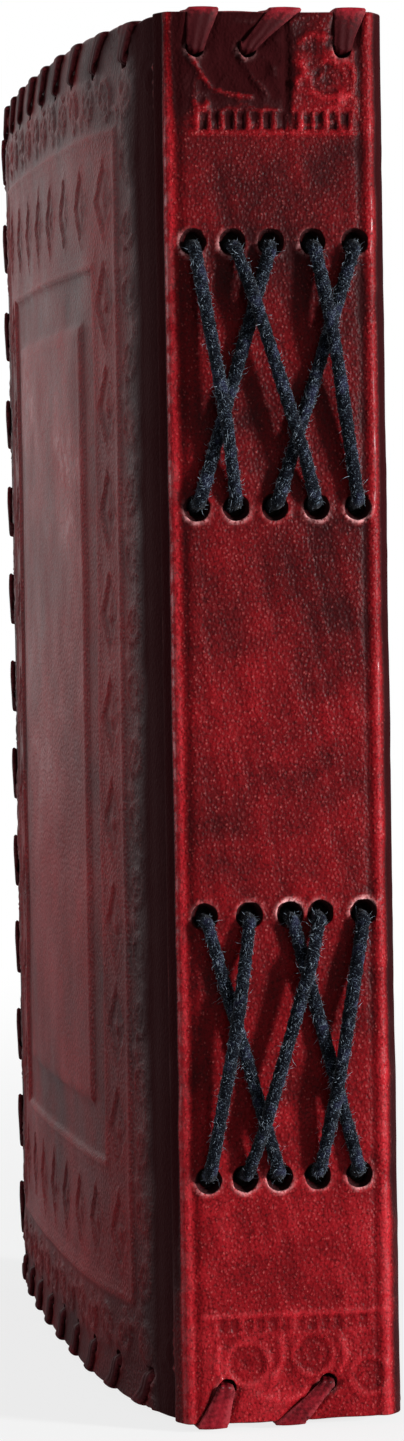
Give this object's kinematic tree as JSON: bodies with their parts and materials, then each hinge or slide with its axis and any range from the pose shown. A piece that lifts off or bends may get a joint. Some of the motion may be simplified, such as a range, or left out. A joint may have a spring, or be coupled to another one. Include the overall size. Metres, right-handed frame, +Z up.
{
  "type": "leather journal",
  "caption": "Upright leather-bound journal with embossed covers, a flat lace whipped round the edges, pages sewn through the spine with crossing cords, and covers that swing.",
  "frame": {"origin": "middle of the base that the standing journal rests on", "axes": "+Z up from the tail edge to the head edge, +Y from the spine to the fore edge, +X across the thickness towards the front cover"},
  "size_m": [0.0566, 0.1846, 0.2538],
  "materials": {
    "outer_leather": "deep red embossed hide, glossy with a fine grain",
    "lining_leather": "brown-red suede, matte",
    "edge_lace": "flat red calf lace, smooth and glossy",
    "spine_card": "brown card",
    "pages": "cream handmade paper with rough edges",
    "sewing_cord": "dark navy twisted cotton, fuzzy"
  },
  "bodies": {
    "binding": {"spine_leather": "outer_leather", "spine_strip": "spine_card", "spine_lining": "lining_leather", "text_block": "pages", "upper_sewing_cord": "sewing_cord", "lower_sewing_cord": "sewing_cord", "spine_head_lacing": "edge_lace", "spine_tail_lacing": "edge_lace"},
    "front_cover": {"front_cover_leather": "outer_leather", "front_cover_lining": "lining_leather", "front_head_lacing": "edge_lace", "front_fore_edge_lacing": "edge_lace", "front_tail_lacing": "edge_lace"},
    "back_cover": {"back_cover_leather": "outer_leather", "back_cover_lining": "lining_leather", "back_head_lacing": "edge_lace", "back_fore_edge_lacing": "edge_lace", "back_tail_lacing": "edge_lace"}
  },
  "joints": [
    {"name": "front_cover_swing", "type": "hinge", "parent": "binding", "child": "front_cover", "pos_m": [0.021, -0.0801, 0], "axis": [0, 0, -1], "range_deg": [0, 150]},
    {"name": "back_cover_swing", "type": "hinge", "parent": "binding", "child": "back_cover", "pos_m": [-0.021, -0.0801, 0], "axis": [0, 0, 1], "range_deg": [0, 150]}
  ]
}
